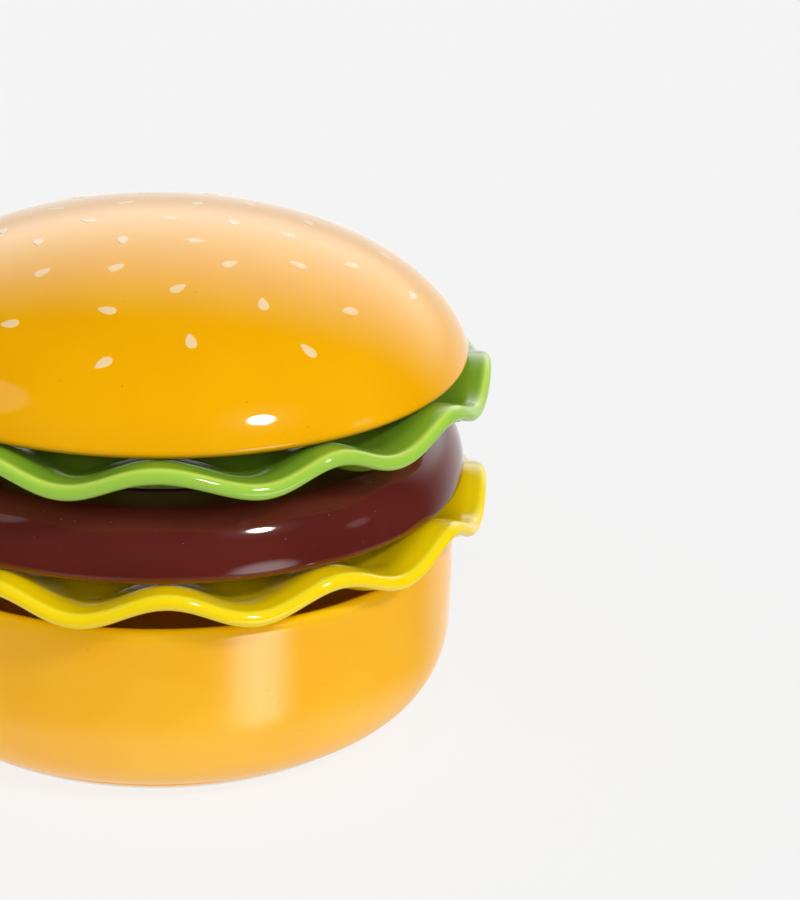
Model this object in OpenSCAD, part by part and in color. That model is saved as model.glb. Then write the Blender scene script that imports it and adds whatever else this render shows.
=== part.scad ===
// Hamburger-shaped stacking tableware in glazed ceramic: two bun bowls, a patty
// dish and two wavy plates, piled up as they are stored. Every dish lifts
// straight off the one below it. Millimetres, +Z up, origin on the table at the
// middle of the lower bowl's foot.

/* [Bottom bun bowl] */
// Outside diameter of the bowl's wall
bowl_d = 160; // [154:1:168]
// Height of the bowl from its foot to its rim
bowl_h = 52.5; // [46:0.5:60]
// Height at which the wall has curved out to its full width
bowl_curve_h = 27.8; // [22:0.2:34]
// Outside diameter of the bowl's foot ring
bowl_foot_d = 127; // [116:1:134]
// Height of the foot ring's straight side
bowl_foot_h = 2.5; // [1.5:0.1:3.5]
// Thickness of the bowl's wall
bowl_t = 4.2; // [3.5:0.1:5]

/* [Patty dish] */
// Outside diameter of the patty dish
patty_d = 164.8; // [158:0.2:168]
// Height of the patty dish
patty_h = 16.9; // [15:0.2:24]
// Height of the straight wall above the lip, where the shoulder starts
patty_wall_h = 2.2; // [2:0.1:4]
// How far the rounded shoulder reaches in towards the axis
patty_shoulder_r = 11; // [8:0.5:12]
// Thickness of the patty dish's wall
patty_t = 4.4; // [3.5:0.1:5]

/* [Wavy plates] */
// Diameter over the wavy rim
plate_d = 177.6; // [174:0.2:184]
// Number of waves round the rim
wave_count = 12; // [8:1:16]
// Height of the cheese plate's waves from their mean to a crest
cheese_wave_h = 3.05; // [0.5:0.05:3.5]
// Height of the lettuce plate's waves from their mean to a crest
lettuce_wave_h = 2.75; // [0.5:0.05:3.5]
// Thickness of the fully rounded rim
rim_t = 4.3; // [3.8:0.1:5]
// Thickness of the flat floor
floor_t = 5; // [4.4:0.1:5.5]
// Depth of the floor's underside below the rim's lower edge
plate_depth = 3.8; // [3.4:0.1:4.4]
// Height of the plates' foot ring
plate_foot_h = 5.3; // [4.6:0.1:6]
// Outside diameter of the plates' foot ring
plate_foot_d = 122; // [110:1:126]
// Turn of the cheese plate's waves from the front
cheese_turn = 0.9; // [-15:0.1:15]
// Turn of the lettuce plate's waves from the front
lettuce_turn = -1.2; // [-15:0.1:15]

/* [Top bun bowl] */
// Width of the top bun's oval section at its waist, just below the lip
bun_d = 167.4; // [164:0.2:170]
// Rise of the top bun from its waist to its apex
bun_rise = 40.9; // [36:0.1:46]
// Height above the waist at which the lip cuts the oval off
bun_cut = 4.7; // [3:0.1:8]
// Thickness of the top bun's wall
bun_t = 4.4; // [3.5:0.1:5]

/* [Sesame seeds] */
// Length of a painted seed
seed_l = 5; // [3:0.1:6]
// Width of a painted seed
seed_w = 2.8; // [2:0.1:3.5]
// How far the enamel stands proud of the glaze
seed_proud = 0.12; // [0.05:0.01:0.3]

/* [Hidden] */

seat_gap = 0.4;         // room left between a dish and the one it rests on
curve_steps = 16;       // straight pieces in each rounded stretch
turn_steps = 144;       // facets round a turned dish in the preview
wave_steps = 8;         // facets along one wave
floor_h = 5;            // floor thickness of the bowls, above the foot ring
foot_w = 4.5;           // width of every foot ring
seed_depth = 0.5;       // thickness of the enamel, sunk into the glaze
well_r = 68;            // radius at which a plate's top starts to rise
level_r = 84;           // radius at which a plate's top is level again
flange_r = 73.7;        // radius at which a plate's underside starts to rise
wave_from_r = 58;       // radius at which the waves start
wave_full_r = 78;       // radius at which the waves reach full height
// Unevenness of the hand-made waves: each [degrees, bearing, reach] moves the
// waves near a bearing, counted from the front, sideways by that many degrees
cheese_drift = [[-3, 85, 40]];
lettuce_drift = [[3, 17, 25], [-3, 85, 40]];

plate_r = plate_d / 2;
edge_r = plate_r - rim_t / 2;
plate_foot_r = plate_foot_d / 2;
bowl_rim_r = bowl_d / 2 - bowl_t / 2;
patty_lip_r = patty_d / 2 - patty_t / 2;
bun_lip_r = oval_r(bun_cut + bun_t / 2) - bun_t / 2;

// Each dish's own height in the pile: a plate's is its rim's mean lower edge
cheese_z = bowl_h + seat_gap - under(bowl_rim_r) + cheese_wave_h * under_share(bowl_rim_r);
patty_z = cheese_z + crest_top(patty_lip_r, cheese_wave_h) + seat_gap;
lettuce_z = patty_z + patty_h + seat_gap + plate_depth + plate_foot_h;
bun_z = lettuce_z + crest_top(bun_lip_r, lettuce_wave_h) + seat_gap;

// Seeds sit on rings round the apex: ring radius, number of seeds, first angle
seed_rings = [[3, 1, 75], [19, 6, 29], [33.5, 7, 32], [42, 7, 6],
              [51.5, 8, 30], [61, 8, 7], [67.5, 8, 33]];

// Eases from 0 to 1 and stays flat at both ends
function ease(t) = let (c = min(max(t, 0), 1)) c * c * (3 - 2 * c);

// Height of a plate's underside and of its top, from its rim's lower edge,
// without waves
function under(r) =
    -plate_depth * (1 - ease((r - flange_r) / (edge_r - flange_r)));
function over(r) =
    rim_t + (floor_t - plate_depth - rim_t) * (1 - ease((r - well_r) / (level_r - well_r)));

// Share of the wave that reaches radius r on the top and underneath, and the
// height of a crest there
function wave_share(r) = ease((r - wave_from_r) / (wave_full_r - wave_from_r));
function under_share(r) = ease((r - plate_foot_r - 1) / (flange_r - plate_foot_r));
function crest_top(r, h) = over(r) + h * wave_share(r);

// Radius of the top bun's oval at a height above its waist
function oval_r(z) = bun_d / 2 * sqrt(1 - pow(z / bun_rise, 2));

// Points of a rounded stretch from [r0, z0], level there, to [r1, z1], upright
// there; er and ez above or below 1 pull the curve off a plain ellipse
function bulge(r0, z0, r1, z1, er = 1, ez = 1, last = 90) =
    [for (i = [0:curve_steps]) let (a = last * i / curve_steps)
        [r0 + (r1 - r0) * pow(sin(a), er), z0 + (z1 - z0) * (1 - pow(cos(a), ez))]];

// Points of an arc about [r, z]
function arc(r, z, radius, from, to, steps) =
    [for (i = [0:steps]) let (a = from + (to - from) * i / steps)
        [r + radius * cos(a), z + radius * sin(a)]];

function back(list) = [for (i = [len(list) - 1:-1:0]) list[i]];

// Half section of the bowl, from the middle of its underside outwards and back
module bowl_section() {
    foot_r = bowl_foot_d / 2;
    wall_r = bowl_d / 2;
    inner_r = wall_r - bowl_t;
    floor_z = bowl_foot_h + floor_h;
    polygon(concat(
        [[0, bowl_foot_h], [foot_r - foot_w - 1, bowl_foot_h], [foot_r - foot_w, 0.4],
         [foot_r - foot_w + 0.4, 0], [foot_r - 0.5, 0], [foot_r, 0.5]],
        bulge(foot_r, bowl_foot_h, wall_r, bowl_curve_h, 1.18, 0.82),
        arc(wall_r - bowl_t / 2, bowl_h - bowl_t / 2, bowl_t / 2, 0, 180, 8),
        back(bulge(foot_r - 12, floor_z, inner_r, bowl_curve_h + 2)),
        [[0, floor_z]]));
}

// Half section of the patty dish, lip down, with its base and foot ring on top
module patty_section() {
    outer_r = patty_d / 2;
    inner_r = outer_r - patty_t;
    foot_r = outer_r - patty_shoulder_r;
    recess_r = 56;
    ceiling_z = patty_h - 6;
    polygon(concat(
        [[0, patty_h - 1.5], [recess_r, patty_h - 1.5], [recess_r + 1, patty_h]],
        bulge(foot_r, patty_h, outer_r, patty_wall_h),
        arc(outer_r - patty_t / 2, patty_t / 2, patty_t / 2, 0, -180, 8),
        back(bulge(foot_r - 2, ceiling_z, inner_r, patty_wall_h + 0.2)),
        [[0, ceiling_z]]));
}

// Half section of the top bun, an oval cut off above its waist, lip down
module bun_section() {
    lip_angle = acos((bun_cut + bun_t / 2) / bun_rise);
    inner_rise = bun_rise - bun_t - 0.6;
    inner_angle = acos((bun_cut + bun_t / 2) / inner_rise);
    apex_z = bun_rise - bun_cut;
    inner_waist_r = (bun_lip_r - bun_t / 2) / sin(inner_angle);
    polygon(concat(
        bulge(0, apex_z, bun_d / 2, -bun_cut, last = lip_angle),
        arc(bun_lip_r, bun_t / 2, bun_t / 2, -10, -170, 8),
        back(bulge(0, inner_rise - bun_cut, inner_waist_r, -bun_cut, last = inner_angle))));
}

// Section of a plate from the middle of its top, out over the rim and back
// underneath to its foot ring: [radius, height without waves, wave share]
function plate_section() =
    let (foot_z = -plate_depth - plate_foot_h, f = plate_foot_r)
    concat(
        [[wave_from_r / 2, over(0), 0]],
        [for (r = [wave_from_r:2.5:level_r]) [r, over(r), wave_share(r)]],
        [for (p = arc(edge_r, rim_t / 2, rim_t / 2, 90, -75, 8)) [p[0], p[1], 1]],
        [for (r = [edge_r - 1:-2.5:f + 1]) [r, under(r), under_share(r)]],
        [[f, -plate_depth - 0.6, 0], [f, foot_z + 0.5, 0], [f - 0.5, foot_z, 0],
         [f - foot_w, foot_z, 0], [f - foot_w - 1, -plate_depth, 0]]);

// Adds up a list of numbers
function total(list, i = 0) = i < len(list) ? list[i] + total(list, i + 1) : 0;

// Sideways move of the waves at angle a from the front, in degrees
function drift_at(drift, a) =
    total([for (d = drift) d[0] * ease(1 - abs((a - d[1] + 540) % 360 - 180) / d[2])]);

// A wavy plate, standing with its rim's mean lower edge at zero, front at -Y
module wavy_plate(h, turn, drift) {
    section = plate_section();
    m = len(section);
    n = wave_count * wave_steps;
    last = n * m + 1;
    rings = [for (j = [0:n - 1])
        let (a = 360 * j / n, w = h * cos(wave_count * (a - turn - drift_at(drift, a))))
        for (p = section) [p[0] * sin(a), -p[0] * cos(a), p[1] + w * p[2]]];
    skin = [for (j = [0:n - 1]) let (s = 1 + j * m, t = 1 + ((j + 1) % n) * m)
        for (i = [0:m - 2]) each [[s + i, t + i, t + i + 1], [s + i, t + i + 1, s + i + 1]]];
    middle = [for (j = [0:n - 1]) let (s = 1 + j * m, t = 1 + ((j + 1) % n) * m)
        each [[0, t, s], [last, s + m - 1, t + m - 1]]];
    polyhedron(
        points = concat([[0, 0, over(0)]], rings, [[0, 0, -plate_depth]]),
        faces = concat(skin, middle), convexity = 8);
}

// One seed seen from above, a drop with its point towards +X
module seed_outline() {
    polygon([for (i = [0:11]) let (a = 30 * i)
        [seed_l / 2 * cos(a), seed_w / 2 * sin(a) * (1 - 0.35 * cos(a))]]);
}

// A seed laid on the top bun at a ring's radius and angle, turned by spin
module seed(radius, angle, spin) {
    waist_r = bun_d / 2;
    z = bun_rise * sqrt(1 - pow(radius / waist_r, 2));
    slope = atan(bun_rise * bun_rise * radius / (waist_r * waist_r * z));
    rotate([0, 0, angle - 90])
        translate([radius, 0, bun_z + z - bun_cut])
            rotate([0, slope, 0])
                translate([0, 0, seed_proud - seed_depth])
                    rotate([0, 0, spin])
                        linear_extrude(seed_depth) seed_outline();
}

module bottom_bun_bowl() {
    color("#f8b62c") rotate_extrude($fn = turn_steps) bowl_section();
}

module cheese_plate() {
    color("#ffe100") translate([0, 0, cheese_z])
        wavy_plate(cheese_wave_h, cheese_turn, cheese_drift);
}

module patty_dish() {
    color("#5c201e") translate([0, 0, patty_z]) rotate_extrude($fn = turn_steps) patty_section();
}

module lettuce_plate() {
    color("#8cc63c") translate([0, 0, lettuce_z])
        wavy_plate(lettuce_wave_h, lettuce_turn, lettuce_drift);
}

module top_bun_bowl() {
    color("#fab200") translate([0, 0, bun_z]) rotate_extrude($fn = turn_steps) bun_section();
}

module sesame_seeds() {
    color("#fcdba6")
        for (ring = seed_rings)
            for (i = [0:ring[1] - 1])
                seed(ring[0], ring[2] + 360 * i / ring[1], 67 * i + 3 * ring[0]);
}

bottom_bun_bowl();
cheese_plate();
patty_dish();
lettuce_plate();
top_bun_bowl();
sesame_seeds();
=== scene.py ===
from math import radians
import bpy
import numpy as np
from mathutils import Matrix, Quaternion, Vector


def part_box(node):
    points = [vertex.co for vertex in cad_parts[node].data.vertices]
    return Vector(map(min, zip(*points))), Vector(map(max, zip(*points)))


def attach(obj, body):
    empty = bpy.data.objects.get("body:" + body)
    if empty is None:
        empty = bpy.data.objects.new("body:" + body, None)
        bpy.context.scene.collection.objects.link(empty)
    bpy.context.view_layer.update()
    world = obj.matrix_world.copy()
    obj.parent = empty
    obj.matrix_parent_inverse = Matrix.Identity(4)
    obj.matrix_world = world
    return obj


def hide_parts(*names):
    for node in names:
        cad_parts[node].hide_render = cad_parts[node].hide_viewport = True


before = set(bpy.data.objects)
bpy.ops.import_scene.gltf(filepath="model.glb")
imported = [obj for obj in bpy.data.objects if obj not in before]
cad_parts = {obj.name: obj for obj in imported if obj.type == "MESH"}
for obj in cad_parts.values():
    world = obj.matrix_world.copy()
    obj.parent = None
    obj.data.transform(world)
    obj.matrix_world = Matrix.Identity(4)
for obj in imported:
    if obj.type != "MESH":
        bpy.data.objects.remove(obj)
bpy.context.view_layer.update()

mm = 0.001
collection = bpy.context.scene.collection


def bulge(r0, z0, r1, z1, er=1.0, ez=1.0, first=0.0, last=90.0, count=40):
    # Rounded stretch of a section: level at (r0, z0), upright at (r1, z1).
    # r = r0 + (r1 - r0) sin(a)^er and z = z0 + (z1 - z0)(1 - cos(a)^ez).
    a = np.radians(np.linspace(first, last, count))
    c = np.clip(np.cos(a), 0, 1)
    return np.stack([r0 + (r1 - r0) * np.sin(a) ** er, z0 + (z1 - z0) * (1 - c ** ez)], 1)


def arc(r, z, radius, start, end, count=12):
    # Arc about (r, z) from one angle to another, in degrees
    a = np.radians(np.linspace(start, end, count))
    return np.stack([r + radius * np.cos(a), z + radius * np.sin(a)], 1)


def ease(t):
    # 0 to 1, flat at both ends: 3t^2 - 2t^3
    t = np.clip(t, 0, 1)
    return t * t * (3 - 2 * t)


def resample(path, step):
    # Points at about equal spacing along a section, its first and last kept
    path = np.asarray(path, float)
    keep = np.r_[True, np.linalg.norm(np.diff(path, axis=0), axis=1) > 1e-9]
    path = path[keep]
    along = np.r_[0, np.cumsum(np.linalg.norm(np.diff(path, axis=0), axis=1))]
    want = np.linspace(0, along[-1], int(along[-1] / step) + 2)
    return np.stack([np.interp(want, along, path[:, k]) for k in range(path.shape[1])], 1)


def sweepRound(name, section, turns, lift=None, masks=None):
    # Carries a half section (r, z) round the Z axis: x = r sin(a), y = -r cos(a), with
    # a counted from the front, and z gets lift(a) on top. The section's two ends lie
    # on the axis and close as poles.
    r, z = section[1:-1, 0], section[1:-1, 1]
    a = np.arange(turns) * 2 * np.pi / turns
    zz = np.repeat(z[None, :], turns, 0)
    if lift is not None:
        zz = zz + lift(a)
    ring = np.stack([np.sin(a)[:, None] * r, -np.cos(a)[:, None] * r, zz], 2)
    n, m = turns, len(r)
    co = np.concatenate([ring.reshape(-1, 3), [[0, 0, section[0, 1]], [0, 0, section[-1, 1]]]])
    j, i = np.meshgrid(np.arange(n), np.arange(m - 1), indexing="ij")
    k = (j + 1) % n
    quads = np.stack([j * m + i, j * m + i + 1, k * m + i + 1, k * m + i], 2).reshape(-1, 4)
    j = np.arange(n)
    k = (j + 1) % n
    caps = np.concatenate([
        np.stack([np.full(n, n * m), j * m, k * m], 1),
        np.stack([np.full(n, n * m + 1), k * m + m - 1, j * m + m - 1], 1)])
    values = {key: np.r_[np.tile(value[1:-1], turns), value[0], value[-1]]
              for key, value in (masks or {}).items()}
    return makeMesh(name, co, quads, caps, values)


def makeMesh(name, co, quads, tris, values):
    # Writes vertices, quads and triangles into a mesh as whole arrays
    mesh = bpy.data.meshes.new(name)
    mesh.vertices.add(len(co))
    mesh.vertices.foreach_set("co", np.asarray(co, np.float32).ravel())
    loops = np.concatenate([quads.ravel(), tris.ravel()]).astype(np.int32)
    sizes = np.concatenate([np.full(len(quads), 4), np.full(len(tris), 3)])
    mesh.loops.add(len(loops))
    mesh.loops.foreach_set("vertex_index", loops)
    mesh.polygons.add(len(sizes))
    starts = np.concatenate([[0], np.cumsum(sizes)[:-1]]).astype(np.int32)
    mesh.polygons.foreach_set("loop_start", starts)
    for key, value in values.items():
        mesh.attributes.new(key, "FLOAT", "POINT").data.foreach_set(
            "value", np.asarray(value, np.float32))
    mesh.update(calc_edges=True)
    mesh.validate()
    mesh.shade_smooth()
    piece = bpy.data.objects.new(name, mesh)
    collection.objects.link(piece)
    return piece


def near(path, r, z, reach):
    # 1 at a point of the section, easing to 0 at the given reach
    return 1 - ease(np.hypot(path[:, 0] - r, path[:, 1] - z) / reach)


def baseOf(node):
    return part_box(node)[0].z


def addNode(tree, kind, at=(0, 0), **values):
    # A shader node, with its inputs or its own settings given by name
    node = tree.nodes.new(kind)
    node.location = at
    for key, value in values.items():
        if key in node.inputs:
            node.inputs[key].default_value = value
        else:
            setattr(node, key, value)
    return node


def ramp(tree, value, start, end, low, high):
    # Low up to start, high from end on, eased between
    node = addNode(tree, "ShaderNodeMapRange", interpolation_type="SMOOTHSTEP")
    for key, number in (("From Min", start), ("From Max", end), ("To Min", low), ("To Max", high)):
        node.inputs[key].default_value = number
    tree.links.new(value, node.inputs["Value"])
    return node.outputs["Result"]


glazeDots = {  # scale input: start row, mask, distances where a dot ends and is full
    "Speck Scale": (0, "Specks", 0.12, 0.05), "Dust Scale": (-300, "Dust", 0.09, 0.03)}
rareDots = 0.93  # only cells whose random value is above this carry a dot
wavinessScale = 38.0  # waves of the melted coat, per metre


def buildGlazeGroup():
    # What every glaze shares: soft mottling, sparse dark specks, pale dust, and the
    # slow waviness of a melted coat. Puts out masks and a height, never a shader.
    group = bpy.data.node_groups.new("glazeMarks", "ShaderNodeTree")
    face = group.interface
    for name, value in (("Mottle Scale", 60.0), ("Speck Scale", 420.0), ("Dust Scale", 900.0)):
        face.new_socket(name, in_out="INPUT", socket_type="NodeSocketFloat").default_value = value
    for name in ("Mottle", "Specks", "Dust", "Waviness"):
        face.new_socket(name, in_out="OUTPUT", socket_type="NodeSocketFloat")
    link = group.links.new
    entry = addNode(group, "NodeGroupInput", (-900, 0))
    leave = addNode(group, "NodeGroupOutput", (600, 0))
    place = addNode(group, "ShaderNodeTexCoord", (-900, -300))
    mottle = addNode(group, "ShaderNodeTexNoise", (-500, 300), Detail=2.0, Roughness=0.45)
    link(place.outputs["Object"], mottle.inputs["Vector"])
    link(entry.outputs["Mottle Scale"], mottle.inputs["Scale"])
    link(mottle.outputs["Fac"], leave.inputs["Mottle"])
    for name, (y, mask, ends, full) in glazeDots.items():
        cells = addNode(group, "ShaderNodeTexVoronoi", (-500, y), Randomness=1.0)
        link(place.outputs["Object"], cells.inputs["Vector"])
        link(entry.outputs[name], cells.inputs["Scale"])
        dot = addNode(group, "ShaderNodeMapRange", (-250, y), clamp=True)
        dot.interpolation_type = "SMOOTHSTEP"
        dot.inputs["From Min"].default_value = ends
        dot.inputs["From Max"].default_value = full
        link(cells.outputs["Distance"], dot.inputs["Value"])
        rare = addNode(group, "ShaderNodeMath", (-250, y - 160), operation="GREATER_THAN")
        rare.inputs[1].default_value = rareDots
        split = addNode(group, "ShaderNodeSeparateColor", (-400, y - 160))
        link(cells.outputs["Color"], split.inputs["Color"])
        link(split.outputs["Red"], rare.inputs[0])
        both = addNode(group, "ShaderNodeMath", (0, y), operation="MULTIPLY")
        link(dot.outputs["Result"], both.inputs[0])
        link(rare.outputs["Value"], both.inputs[1])
        link(both.outputs["Value"], leave.inputs[mask])
    wave = addNode(group, "ShaderNodeTexNoise", (-500, -700), Scale=wavinessScale, Detail=2.0,
                   Roughness=0.4)
    link(place.outputs["Object"], wave.inputs["Vector"])
    link(wave.outputs["Fac"], leave.inputs["Waviness"])
    return group


glazeMarks = buildGlazeGroup()


mottleSpan = (0.25, 0.75)  # part of the mottling noise that a glaze spreads over
roughSwing = 0.2  # share by which the mottling moves the roughness, either way


def glazeMaterial(name, look):
    # A coloured glaze on white clay: body colour with mottling, paler where the thin mask is high
    # (thin glaze on the plates' rims, a painted highlight line at the bowl's foot), a line of
    # colour where the rim mask is high (on the bowl and the plates partly painted light), and bare
    # clay where the bare mask is high. Each mask has its own roughness too.
    mat = bpy.data.materials.new(name)
    mat.use_nodes = True
    tree = mat.node_tree
    link = tree.links.new
    shader = tree.nodes["Principled BSDF"]
    shader.inputs["IOR"].default_value = look["ior"]
    marks = addNode(tree, "ShaderNodeGroup", (-1100, 0))
    marks.node_tree = glazeMarks
    marks.inputs["Mottle Scale"].default_value = look["mottleScale"]
    marks.inputs["Speck Scale"].default_value = look["speckScale"]
    deep = addNode(tree, "ShaderNodeMix", (-800, 300), data_type="RGBA")
    deep.inputs[6].default_value = (*look["deep"], 1)
    deep.inputs[7].default_value = (*look["colour"], 1)
    link(ramp(tree, marks.outputs["Mottle"], *mottleSpan, 0, 1), deep.inputs["Factor"])
    colour = deep.outputs[2]
    layers = [("Specks", look["speckColour"], look["specks"], "group"),
              ("thinGlazeAndSheen", look["thinGlazeAndSheenColour"], 1.0, "mesh"), ("rim", look["rimColour"], 1.0, "mesh"),
              ("Dust", look["dustColour"], look["dust"], "group"),
              ("bare", look["bareColour"], 1.0, "mesh")]
    masks = {}
    x = -700
    for key, tint, amount, source in layers:
        mix = addNode(tree, "ShaderNodeMix", (x, 300), data_type="RGBA")
        mix.inputs[7].default_value = (*tint, 1)
        scale = addNode(tree, "ShaderNodeMath", (x, 100), operation="MULTIPLY")
        scale.inputs[1].default_value = amount
        if source == "group":
            link(marks.outputs[key], scale.inputs[0])
        else:
            mask = addNode(tree, "ShaderNodeAttribute", (x - 150, 0), attribute_name=key)
            link(mask.outputs["Fac"], scale.inputs[0])
            masks[key] = mask.outputs["Fac"]
        link(scale.outputs["Value"], mix.inputs["Factor"])
        link(colour, mix.inputs[6])
        colour = mix.outputs[2]
        x += 180
    link(colour, shader.inputs["Base Color"])
    value = ramp(tree, marks.outputs["Mottle"], *mottleSpan, look["rough"] * (1 - roughSwing),
                 look["rough"] * (1 + roughSwing))
    for key, number in (("thinGlazeAndSheen", look["thinGlazeAndSheenRough"]), ("rim", look["rimRough"]),
                        ("bare", look["bareRough"])):
        mix = addNode(tree, "ShaderNodeMix", (-100, -200), data_type="FLOAT")
        mix.inputs[3].default_value = number
        link(value, mix.inputs[2])
        link(masks[key], mix.inputs["Factor"])
        value = mix.outputs[0]
    link(value, shader.inputs["Roughness"])
    bump = addNode(tree, "ShaderNodeBump", (-100, -450), Strength=look["wave"], Distance=0.001)
    link(marks.outputs["Waviness"], bump.inputs["Height"])
    link(bump.outputs["Normal"], shader.inputs["Normal"])
    return mat


def finishPiece(piece, look, body, node):
    piece.data.materials.append(glazeMaterial(piece.name + "Glaze", look))
    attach(piece, body)
    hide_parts(node)
    print("made", piece.name, len(piece.data.vertices), "vertices")
    return piece


commonLook = {"ior": 1.5, "mottleScale": 45.0, "speckScale": 330.0, "specks": 0.35, "dust": 0.5,
              "speckColour": (0.25, 0.1, 0.02), "dustColour": (0.9, 0.88, 0.84),
              "bareColour": (0.86, 0.82, 0.76),
              "thinGlazeAndSheenColour": (0.8, 0.7, 0.5), "rough": 0.07, "thinGlazeAndSheenRough": 0.06,
              "rimRough": 0.07, "bareRough": 0.85,
              "wave": 0.06}
clay = {"turns": 360, "step": 0.6 * mm}


# The bowl's thin colour is the pale colour of the painted highlight line at its foot
bowl = {"wallR": 80 * mm, "wall": 4.2 * mm, "height": 52.5 * mm, "curveH": 27.8 * mm,
        "footR": 63.5 * mm, "footW": 4.5 * mm, "footH": 2.5 * mm, "floor": 5 * mm,
        "floorIn": 12 * mm, "sweep": (1.18, 0.82), "rimReach": 5 * mm,
        "look": {**commonLook, "colour": (1.0, 0.50, 0.008), "deep": (0.985, 0.465, 0.006),
                 "rimColour": (1.0, 0.60, 0.002), "thinGlazeAndSheenColour": (1.0, 0.72, 0.42), "thinGlazeAndSheenRough": 0.2,
                 "ior": 1.7, "rough": 0.22, "rimRough": 0.08}}


def makeBowl():
    b = bowl
    lipR = b["wall"] / 2
    floorZ = b["footH"] + b["floor"]
    innerR = b["wallR"] - b["wall"]
    path = np.concatenate([
        [[0, floorZ]],
        bulge(b["footR"] - b["floorIn"], floorZ, innerR, b["curveH"] + 2 * mm),
        arc(b["wallR"] - lipR, b["height"] - lipR, lipR, 180, 0),
        bulge(b["footR"], b["footH"], b["wallR"], b["curveH"], *b["sweep"])[::-1],
        arc(b["footR"] - 0.5 * mm, 0.5 * mm, 0.5 * mm, 0, -90, 6),
        arc(b["footR"] - b["footW"] + 0.4 * mm, 0.4 * mm, 0.4 * mm, -90, -180, 6),
        [[b["footR"] - b["footW"] - 1 * mm, b["footH"]], [0, b["footH"]]]])
    section = resample(path, clay["step"])
    # The rim band's paler orange is partly the thin glaze at the lip and partly painted light,
    # brightening the band that lies in the cheese plate's shade
    rim = near(section, b["wallR"] - lipR, b["height"], b["rimReach"])
    # Painted highlight: a pale line along the corner where the wall meets the foot ring, standing
    # for a glossy reflection there
    paintedFootHighlight = near(section, b["footR"] + 0.3 * mm, b["footH"] + 0.2 * mm, 1 * mm)
    bare = 1 - ease((section[:, 1] - 0.5 * mm) / (0.5 * mm))
    piece = sweepRound("bottomBunBowl", section, clay["turns"],
                       masks={"rim": rim, "thinGlazeAndSheen": paintedFootHighlight, "bare": bare})
    return finishPiece(piece, b["look"], "bottom_bun", "bottom_bun_bowl")


makeBowl()


# A drift (degrees, bearing, reach) moves the waves near a bearing sideways, as a
# hand-made rim is never quite even. Bearings count from the front towards +X.
plate = {"rimR": 88.8 * mm, "waves": 12, "rimT": 4.3 * mm, "floorT": 5 * mm,
         "depth": 3.8 * mm, "footR": 61 * mm, "footW": 4.5 * mm, "footH": 5.3 * mm,
         "wellR": 68 * mm, "levelR": 84 * mm, "flangeR": 73.7 * mm,
         "waveFromR": 58 * mm, "waveFullR": 78 * mm}
# Each plate's rim colour is that yellower line along the rounded rim: partly thin glaze, partly a
# painted highlight
cheese = {"waveH": 3.05 * mm, "turn": 0.9, "drift": [(-3, 85, 40)],
          "look": {**commonLook, "colour": (1.0, 0.71, 0.002), "deep": (1.0, 0.68, 0.001),
                   "thinGlazeAndSheenColour": (1.0, 0.73, 0.004),
                   "rimColour": (1.0, 0.80, 0.03), "rough": 0.18}}
lettuce = {"waveH": 2.75 * mm, "turn": -1.2, "drift": [(3, 17, 25), (-3, 85, 40)],
           "look": {**commonLook, "colour": (0.25, 0.46, 0.03), "deep": (0.215, 0.41, 0.022),
                    "thinGlazeAndSheenColour": (0.37, 0.64, 0.07),
                    "rimColour": (0.60, 0.78, 0.11), "rough": 0.18}}


def waveHeight(own, a):
    # Waves round the rim, cos(waves (a - turn - drift)), a counted from the front
    moved = a - radians(own["turn"])
    for degrees, at, reach in own["drift"]:
        away = np.abs((np.degrees(a) - at + 540) % 360 - 180)
        moved = moved - radians(degrees) * ease(1 - away / reach)
    return own["waveH"] * np.cos(plate["waves"] * moved)


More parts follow.
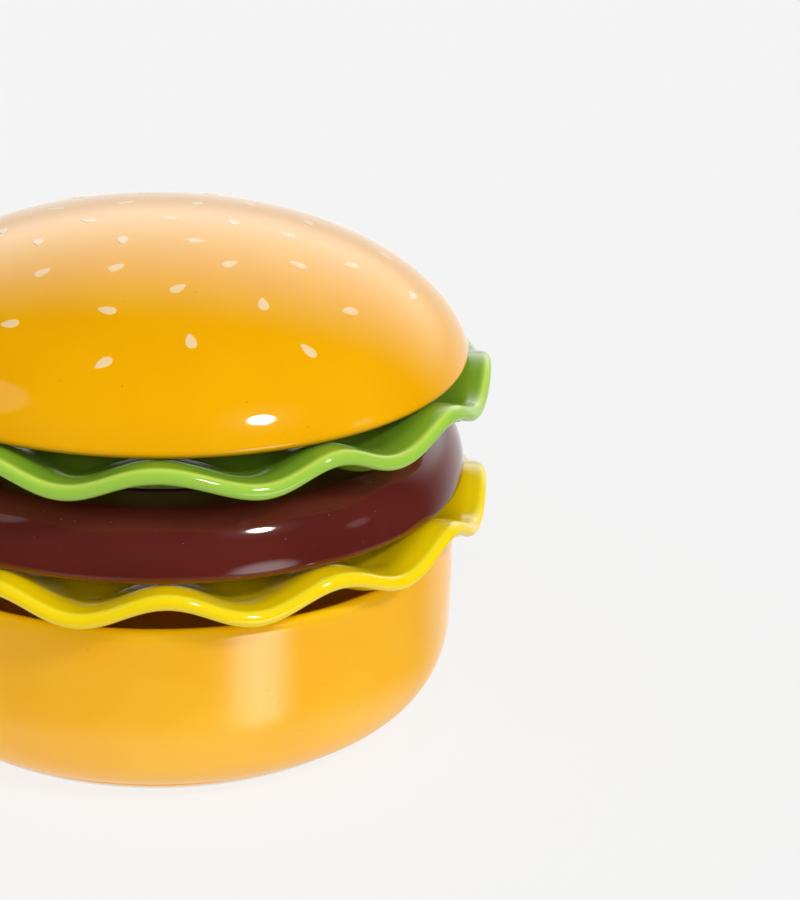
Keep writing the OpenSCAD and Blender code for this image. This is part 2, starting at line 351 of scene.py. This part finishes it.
def makePlate(name, own, body, node):
    p = plate
    edge = p["rimR"] - p["rimT"] / 2
    foot, footZ = p["footR"], -p["depth"] - p["footH"]
    floorTop = p["floorT"] - p["depth"]
    overAt = lambda r: floorTop + (p["rimT"] - floorTop) * ease(
        (r - p["wellR"]) / (p["levelR"] - p["wellR"]))
    underAt = lambda r: -p["depth"] * (1 - ease((r - p["flangeR"]) / (edge - p["flangeR"])))
    shareAt = lambda r: ease((r - p["waveFromR"]) / (p["waveFullR"] - p["waveFromR"]))
    r = np.linspace(0, edge, 120)
    top = np.stack([r, overAt(r), shareAt(r)], 1)
    rim = arc(edge, p["rimT"] / 2, p["rimT"] / 2, 90, -80, 24)
    rim = np.column_stack([rim, np.ones(len(rim))])
    r = np.linspace(edge - 0.6 * mm, foot + 1 * mm, 60)
    reach = p["flangeR"] - foot
    lower = np.stack([r, underAt(r), ease((r - foot - 1 * mm) / reach)], 1)
    turnIn = arc(foot + 1 * mm, -p["depth"] - 1 * mm, 1 * mm, 95, 180, 6)
    turnIn = np.column_stack([turnIn, np.zeros(6)])
    inner = foot - p["footW"]
    ring = np.concatenate([arc(foot - 0.5 * mm, footZ + 0.5 * mm, 0.5 * mm, 0, -90, 5),
                           arc(inner + 0.5 * mm, footZ + 0.5 * mm, 0.5 * mm, -90, -180, 5),
                           [[inner - 1 * mm, -p["depth"]], [0, -p["depth"]]]])
    ring = np.column_stack([ring, np.zeros(len(ring))])
    section = resample(np.concatenate([top, rim, lower, turnIn, ring]), clay["step"])
    # A yellower line along the top of the rounded rim: partly the thin glaze there and partly a
    # painted highlight
    lipGlazeAndHighlight = near(section, edge + 0.42 * p["rimT"] / 2, p["rimT"] / 2 * 1.9, 0.9 * mm)
    thinGlazeAndSheen = ease((section[:, 0] - edge + 1 * mm) / (1.6 * mm))
    bare = 1 - ease((section[:, 1] - footZ - 0.05 * mm) / (0.15 * mm))
    share = section[:, 2]
    section = section[:, :2] + [0, baseOf(node) - footZ]
    lift = lambda a: waveHeight(own, a)[:, None] * share[None, 1:-1]
    piece = sweepRound(name, section, 480, lift, {"rim": lipGlazeAndHighlight, "bare": bare, "thinGlazeAndSheen": thinGlazeAndSheen})
    return finishPiece(piece, own["look"], body, node)


makePlate("cheesePlate", cheese, "cheese", "cheese_plate")
makePlate("lettucePlate", lettuce, "lettuce", "lettuce_plate")


patty = {"outerR": 82.4 * mm, "wall": 4.4 * mm, "height": 16.9 * mm, "wallH": 2.2 * mm,
         "shoulder": 11 * mm, "recessR": 56 * mm, "recess": 1.5 * mm, "base": 6 * mm,
         "look": {**commonLook, "colour": (0.125, 0.017, 0.012), "deep": (0.108, 0.014, 0.010),
                  "rimColour": (0.24, 0.055, 0.008), "rough": 0.07,
                  "speckColour": (0.03, 0.006, 0.005)}}


def makePatty():
    p = patty
    lipR = p["wall"] / 2
    innerR = p["outerR"] - p["wall"]
    shoulderR = p["outerR"] - p["shoulder"]
    top, ceiling = p["height"], p["height"] - p["base"]
    path = np.concatenate([
        [[0, top - p["recess"]], [p["recessR"], top - p["recess"]], [p["recessR"] + 1 * mm, top]],
        bulge(shoulderR, top, p["outerR"], p["wallH"]),
        arc(p["outerR"] - lipR, lipR, lipR, 0, -180, 20),
        bulge(shoulderR - 2 * mm, ceiling, innerR, p["wallH"] + 0.2 * mm)[::-1],
        [[0, ceiling]]])
    section = resample(path, clay["step"])
    rim = 1 - ease((section[:, 1] - 0.6 * mm) / (1.6 * mm))
    bare = near(section, p["recessR"] + 1.5 * mm, top, 1.2 * mm)
    section[:, 1] += baseOf("patty_dish")
    piece = sweepRound("pattyDish", section, clay["turns"], masks={"rim": rim, "bare": bare})
    return finishPiece(piece, p["look"], "patty", "patty_dish")


makePatty()


bun = {"waistR": 83.7 * mm, "rise": 40.9 * mm, "cut": 4.7 * mm, "wall": 4.4 * mm,
       "look": {**commonLook, "colour": (0.97, 0.465, 0.0), "deep": (0.94, 0.435, 0.0),
                "rimColour": (0.62, 0.25, 0.001), "rough": 0.06}}


def bunHeight(r):
    # The top bun is an oval: z = rise sqrt(1 - (r / waist)^2), counted from its waist
    return bun["rise"] * np.sqrt(np.clip(1 - (r / bun["waistR"]) ** 2, 0, 1))


def makeTopBun():
    b = bun
    lipR = b["wall"] / 2
    level = b["cut"] + lipR
    outerR = b["waistR"] * np.sqrt(1 - (level / b["rise"]) ** 2)
    innerRise = b["rise"] - b["wall"] - 0.6 * mm
    lastOut = np.degrees(np.arccos(level / b["rise"]))
    lastIn = np.degrees(np.arccos(level / innerRise))
    innerWaist = (outerR - b["wall"]) / np.sin(radians(lastIn))
    path = np.concatenate([
        bulge(0, b["rise"] - b["cut"], b["waistR"], -b["cut"], last=lastOut, count=160),
        arc(outerR - lipR, lipR, lipR, -5, -175, 20),
        bulge(0, innerRise - b["cut"], innerWaist, -b["cut"], last=lastIn, count=120)[::-1]])
    section = resample(path, clay["step"])
    rim = 1 - ease((section[:, 1] - 0.5 * mm) / (1.2 * mm))
    section[:, 1] += baseOf("top_bun_bowl")
    none = np.zeros(len(section))
    piece = sweepRound("topBunBowl", section, clay["turns"], masks={"rim": rim, "bare": none})
    return finishPiece(piece, b["look"], "top_bun", "top_bun_bowl")


makeTopBun()

seeds = {"length": 5 * mm, "width": 2.8 * mm, "taper": 0.35, "proud": 0.1 * mm,
         "spin": (67, 3),  # degrees from one seed to the next, and per mm of ring radius
         "rings": [(3, 1, 75), (19, 6, 29), (33.5, 7, 32), (42, 7, 6),
                   (51.5, 8, 30), (61, 8, 7), (67.5, 8, 33)],
         "look": {**commonLook, "colour": (0.97, 0.71, 0.38), "deep": (0.95, 0.68, 0.34),
                  "rimColour": (0.97, 0.71, 0.38), "specks": 0.1}}


def makeSeeds():
    # Each seed is a drop x = l/2 cos(t), y = w/2 sin(t)(1 - taper cos(t)), shrunk in rings
    # towards its middle and laid on the top bun's oval a hair above the glaze.
    s = seeds
    t = np.arange(28) * 2 * np.pi / 28
    share = np.array([0.25, 0.5, 0.7, 0.84, 0.93, 1.0, 1.0, 0.6])
    above = np.array([1, 1, 1, 0.96, 0.75, 0.1, -3, -3]) * s["proud"]
    rows, m = len(share), len(t)
    co, quads, tris = [], [], []
    base = baseOf("top_bun_bowl") - bun["cut"]
    ovalSquares = np.array([bun["waistR"], bun["waistR"], bun["rise"]]) ** 2
    for radius, count, first in s["rings"]:
        for i in range(count):
            angle = radians(first + 360 * i / count)
            spin = radians(s["spin"][0] * i + s["spin"][1] * radius)
            x = s["length"] / 2 * np.cos(t)
            y = s["width"] / 2 * np.sin(t) * (1 - s["taper"] * np.cos(t))
            u = np.r_[0, (share[:, None] * (x * np.cos(spin) - y * np.sin(spin))).ravel(), 0]
            v = np.r_[0, (share[:, None] * (x * np.sin(spin) + y * np.cos(spin))).ravel(), 0]
            out = radius * mm
            slope = np.arctan(bun["rise"] ** 2 * out / (bun["waistR"] ** 2 * bunHeight(out)))
            r = out + u * np.cos(slope)
            px, py = r * np.sin(angle) + v * np.cos(angle), -r * np.cos(angle) + v * np.sin(angle)
            rr = np.hypot(px, py)
            z = bunHeight(rr)
            n = np.stack([px, py, z], 1) / ovalSquares
            n /= np.linalg.norm(n, axis=1)[:, None]
            h = np.r_[s["proud"], np.repeat(above, m), above[-1]]
            start = sum(len(c) for c in co)
            co.append(np.stack([px, py, z + base], 1) + n * h[:, None])
            a, b = np.meshgrid(np.arange(rows - 1), np.arange(m), indexing="ij")
            c = (b + 1) % m
            q = np.stack([a * m + b, (a + 1) * m + b, (a + 1) * m + c, a * m + c], 2)
            quads.append(q.reshape(-1, 4) + start + 1)
            b = np.arange(m)
            c = (b + 1) % m
            tris.append(np.stack([np.full(m, 0), b + 1, c + 1], 1) + start)
            last = (rows - 1) * m + 1
            tris.append(np.stack([np.full(m, rows * m + 1), last + c, last + b], 1) + start)
    co = np.concatenate(co)
    none = np.zeros(len(co))
    piece = makeMesh("sesameSeeds", co, np.concatenate(quads), np.concatenate(tris),
                     {"rim": none, "bare": none})
    return finishPiece(piece, s["look"], "top_bun", "sesame_seeds")


makeSeeds()


# The gloss sees a room of its own: a bright wall behind that is dimmer low down, a pale
# table close in, and darkness in front. Matt light comes mostly from the front, and
# fades towards the horizon and overhead. Each span is from one cosine to another.
studio = {"floor": 0.15, "floorSeen": 0.79, "floorFelt": 0.75, "tableFront": -0.22,
          "tableFade": 0.12, "fillBase": 0.42, "fillFront": 1.14, "fillWay": (8, 28),
          "fillSpan": (-0.3, 0.8), "fillLow": 0.45, "fillLowSpan": (0, 0.3),
          "fillTop": 0.15, "fillTopSpan": (0.45, 0.95), "backdrop": 0.925,
          "key": 1.0, "keyAzimuth": 44, "keyElevation": 43, "keyWidth": 8.2,
          "wall": 2.2, "wallWay": (171, 3), "wallSpan": (0.45, 0.98), "wallFoot": 0.48,
          "wallFootSpan": (0.06, 0.32), "table": 0.75, "tableSpan": (0.36, 0.68),
          "room": 0.03}
glints = [  # azimuth, elevation, cosine where it starts and is full, strength
    (-80, 42, 0.970, 0.985, 0.9), (44, 43, 0.955, 0.995, 0.25),
    (77, 12, 0.994, 0.999, 0.8), (38, -21, 0.968, 0.998, 3.6)]


def direction(azimuth, elevation):
    # Azimuth is counted from the front, -Y, towards +X
    a, e = radians(azimuth), radians(elevation)
    return Vector((np.sin(a) * np.cos(e), -np.cos(a) * np.cos(e), np.sin(e)))


def mathNode(tree, operation, first, second):
    # One Math node on two numbers or sockets
    node = addNode(tree, "ShaderNodeMath", operation=operation)
    for socket, value in zip(node.inputs, (first, second)):
        if isinstance(value, (int, float)):
            socket.default_value = value
        else:
            tree.links.new(value, socket)
    return node.outputs["Value"]


def choose(tree, switch, off, on):
    # The value off where the switch is 0, on where it is 1
    node = addNode(tree, "ShaderNodeMix", data_type="FLOAT")
    tree.links.new(switch, node.inputs["Factor"])
    for socket, value in ((node.inputs[2], off), (node.inputs[3], on)):
        if isinstance(value, (int, float)):
            socket.default_value = value
        else:
            tree.links.new(value, socket)
    return node.outputs[0]


def makeFloor():
    size = 4.0
    mesh = bpy.data.meshes.new("studioFloor")
    mesh.from_pydata([(-size, -size, 0), (size, -size, 0), (size, size, 0), (-size, size, 0)],
                     [], [(0, 1, 2, 3)])
    floor = bpy.data.objects.new("studioFloor", mesh)
    collection.objects.link(floor)
    mat = bpy.data.materials.new("studioFloorPaper")
    mat.use_nodes = True
    tree = mat.node_tree
    shader = tree.nodes["Principled BSDF"]
    shader.inputs["Base Color"].default_value = (*[studio["floor"]] * 3, 1)
    shader.inputs["Roughness"].default_value = 0.9
    shader.inputs["Specular IOR Level"].default_value = 0.0
    shader.inputs["Emission Color"].default_value = (1, 1, 1, 1)
    place = addNode(tree, "ShaderNodeTexCoord")
    split = addNode(tree, "ShaderNodeSeparateXYZ")
    tree.links.new(place.outputs["Object"], split.inputs["Vector"])
    felt = ramp(tree, split.outputs["Y"], studio["tableFront"],
                studio["tableFront"] + studio["tableFade"], 0, studio["floorFelt"])
    path = addNode(tree, "ShaderNodeLightPath")
    glow = choose(tree, path.outputs["Is Camera Ray"], felt, studio["floorSeen"])
    tree.links.new(glow, shader.inputs["Emission Strength"])
    mesh.materials.append(mat)
    floor.visible_glossy = False


def makeWorld():
    world = bpy.data.worlds.new("studioRoom")
    bpy.context.scene.world = world
    world.use_nodes = True
    tree = world.node_tree
    sky = tree.nodes["Background"]
    path = addNode(tree, "ShaderNodeLightPath")
    place = addNode(tree, "ShaderNodeTexCoord")

    def towards(way):
        dot = addNode(tree, "ShaderNodeVectorMath", operation="DOT_PRODUCT")
        dot.inputs[1].default_value = way
        tree.links.new(place.outputs["Generated"], dot.inputs[0])
        return dot.outputs["Value"]

    up = towards((0, 0, 1))
    wall = ramp(tree, towards(direction(*studio["wallWay"])), *studio["wallSpan"],
                0, studio["wall"])
    rise = ramp(tree, up, *studio["wallFootSpan"], studio["wallFoot"], 1)
    gloss = mathNode(tree, "ADD", mathNode(tree, "MULTIPLY", rise, wall), studio["room"])
    gloss = mathNode(tree, "MAXIMUM", gloss, ramp(
        tree, towards((0, 0, -1)), *studio["tableSpan"], 0, studio["table"]))
    for azimuth, elevation, start, end, strength in glints:
        more = ramp(tree, towards(direction(azimuth, elevation)), start, end, 0, strength)
        gloss = mathNode(tree, "ADD", gloss, more)
    fill = ramp(tree, towards(direction(*studio["fillWay"])), *studio["fillSpan"],
                studio["fillBase"], studio["fillBase"] + studio["fillFront"])
    fill = mathNode(tree, "MULTIPLY", fill, ramp(
        tree, up, *studio["fillLowSpan"], studio["fillLow"], 1))
    fill = mathNode(tree, "MULTIPLY", fill, ramp(
        tree, up, *studio["fillTopSpan"], 1, studio["fillTop"]))
    light = choose(tree, path.outputs["Is Glossy Ray"], fill, gloss)
    light = choose(tree, path.outputs["Is Camera Ray"], light, studio["backdrop"])
    tree.links.new(light, sky.inputs["Strength"])
    sky.inputs["Color"].default_value = (1, 1, 1, 1)


def makeKey():
    lamp = bpy.data.lights.new("keyLamp", "SUN")
    lamp.energy = studio["key"]
    lamp.angle = radians(studio["keyWidth"])
    key = bpy.data.objects.new("keyLamp", lamp)
    collection.objects.link(key)
    way = direction(studio["keyAzimuth"], studio["keyElevation"])
    key.rotation_mode = "QUATERNION"
    key.rotation_quaternion = way.to_track_quat("Z", "Y")


view = {"distance": 0.826, "height": 0.0826, "elevation": 20.886, "turn": 4.829,
        "tilt": 21.645, "roll": 1.758, "lens": 122.02}


def makeCamera():
    # Stands in front, looks down a little and past the right of the pile
    v = view
    data = bpy.data.cameras.new("camera")
    data.lens = v["lens"]
    data.sensor_width = 36
    cam = bpy.data.objects.new("camera", data)
    collection.objects.link(cam)
    cam.location = direction(0, v["elevation"]) * v["distance"] + Vector((0, 0, v["height"]))
    look = -direction(-v["turn"], v["tilt"])
    cam.rotation_mode = "QUATERNION"
    roll = Quaternion((0, 0, 1), radians(v["roll"]))
    cam.rotation_quaternion = look.to_track_quat("-Z", "Y") @ roll
    bpy.context.scene.camera = cam


makeFloor()
makeWorld()
makeKey()
makeCamera()
bpy.context.scene.view_settings.view_transform = "Standard"
print("studio ready")
